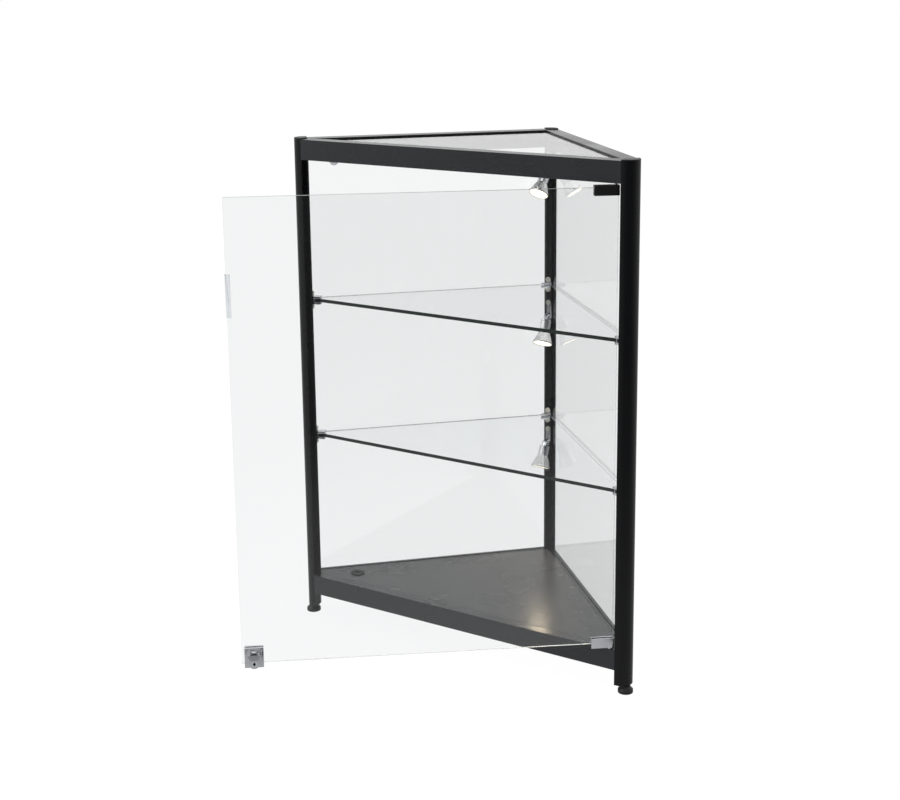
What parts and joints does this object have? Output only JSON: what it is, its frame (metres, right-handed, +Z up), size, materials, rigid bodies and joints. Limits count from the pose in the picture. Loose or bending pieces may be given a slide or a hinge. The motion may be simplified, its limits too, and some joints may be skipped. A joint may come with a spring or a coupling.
{
  "type": "glass corner display cabinet",
  "caption": "Triangular corner display cabinet with aluminium posts and rails, glass sides, hinged locking glass door, glass shelves, tilting spot lamps and levelling feet.",
  "frame": {"origin": "centre of the rear levelling foot's underside", "axes": "+Z up, the door side faces -Y, the square corner is at the back"},
  "size_m": [0.6618, 0.7191, 0.874],
  "materials": {
    "black_frame": "anodised satin",
    "black_plastic": "matte",
    "black_metal": "gloss",
    "cleat_metal": "cast",
    "grey_panel": "satin",
    "clear_glass": "polished",
    "shelf_glass": "polished",
    "black_rubber": "matte",
    "chrome": "polished",
    "cream_screw": "satin",
    "steel": "brushed",
    "cable_jacket": "matte",
    "pale_plastic": "matte",
    "clear_plastic": "clear",
    "lamp_metal": "satin",
    "reflector": "polished",
    "warm_led": "glowing",
    "warm_lens": "frosted"
  },
  "bodies": {
    "cabinet": {"post_left": "black_frame", "post_right": "black_frame", "post_rear": "black_frame", "post_caps": "black_plastic", "rail_top_front": "black_frame", "rail_top_left": "black_frame", "rail_top_right": "black_frame", "rail_base_front": "black_frame", "rail_base_left": "black_frame", "rail_base_right": "black_frame", "corner_cleats": "cleat_metal", "base_panel": "grey_panel", "top_glass": "clear_glass", "top_seal": "black_rubber", "side_glass_left": "clear_glass", "side_glass_right": "clear_glass", "side_seals": "black_rubber", "shelf_upper": "shelf_glass", "shelf_lower": "shelf_glass", "shelf_brackets": "chrome", "shelf_screws": "cream_screw", "shelf_clamp_screws": "steel", "lamp_brackets": "chrome", "lamp_bracket_screws": "cream_screw", "lamp_pins": "steel", "lamp_cable": "cable_jacket", "pivot_bushes": "pale_plastic", "pivot_washer": "pale_plastic", "door_bumper": "clear_plastic", "cable_grommet": "black_plastic", "foot_inserts": "black_plastic"},
    "door": {"door_glass": "clear_glass", "door_pull": "clear_plastic", "hinge_upper": "black_metal", "hinge_lower": "chrome", "hinge_pads": "black_rubber", "hinge_screws": "steel", "pivot_pins": "steel", "lock_body": "chrome", "lock_screws": "cream_screw"},
    "lock_barrel": {"lock_cylinder": "chrome", "lock_cam": "steel", "cam_screw": "steel"},
    "lamp_1": {"lamp_1_socket": "lamp_metal", "lamp_1_reflector": "reflector", "lamp_1_led": "warm_led", "lamp_1_lens": "warm_lens"},
    "lamp_2": {"lamp_2_socket": "lamp_metal", "lamp_2_reflector": "reflector", "lamp_2_led": "warm_led", "lamp_2_lens": "warm_lens"},
    "lamp_3": {"lamp_3_socket": "lamp_metal", "lamp_3_reflector": "reflector", "lamp_3_led": "warm_led", "lamp_3_lens": "warm_lens"},
    "foot_rear": {"foot_rear": "black_plastic"},
    "foot_left": {"foot_left": "black_plastic"},
    "foot_right": {"foot_right": "black_plastic"}
  },
  "joints": [
    {"name": "door_swing", "type": "hinge", "parent": "cabinet", "child": "door", "pos_m": [0.29395, -0.33412, 0.0752], "axis": [0, 0, 1], "range_deg": [-38.3, 71.7]},
    {"name": "lock_turn", "type": "hinge", "parent": "door", "child": "lock_barrel", "pos_m": [-0.1569, -0.69018, 0.0842], "axis": [0.6198, -0.7848, 0], "range_deg": [0, 90]},
    {"name": "lamp_1_tilt", "type": "hinge", "parent": "cabinet", "child": "lamp_1", "pos_m": [0, -0.0201, 0.797], "axis": [-1, 0, 0], "range_deg": [-26, 27]},
    {"name": "lamp_2_tilt", "type": "hinge", "parent": "cabinet", "child": "lamp_2", "pos_m": [0.00227, -0.0201, 0.5251], "axis": [-0.9962, 0, -0.0872], "range_deg": [-10, 32]},
    {"name": "lamp_3_tilt", "type": "hinge", "parent": "cabinet", "child": "lamp_3", "pos_m": [0, -0.0201, 0.2843], "axis": [-1, 0, 0], "range_deg": [-13.5, 39.5]},
    {"name": "foot_rear_height", "type": "slide", "parent": "cabinet", "child": "foot_rear", "axis": [0, 0, -1], "range_m": [0, 0.012]},
    {"name": "foot_left_height", "type": "slide", "parent": "cabinet", "child": "foot_left", "axis": [0, 0, -1], "range_m": [0, 0.012]},
    {"name": "foot_right_height", "type": "slide", "parent": "cabinet", "child": "foot_right", "axis": [0, 0, -1], "range_m": [0, 0.012]}
  ]
}
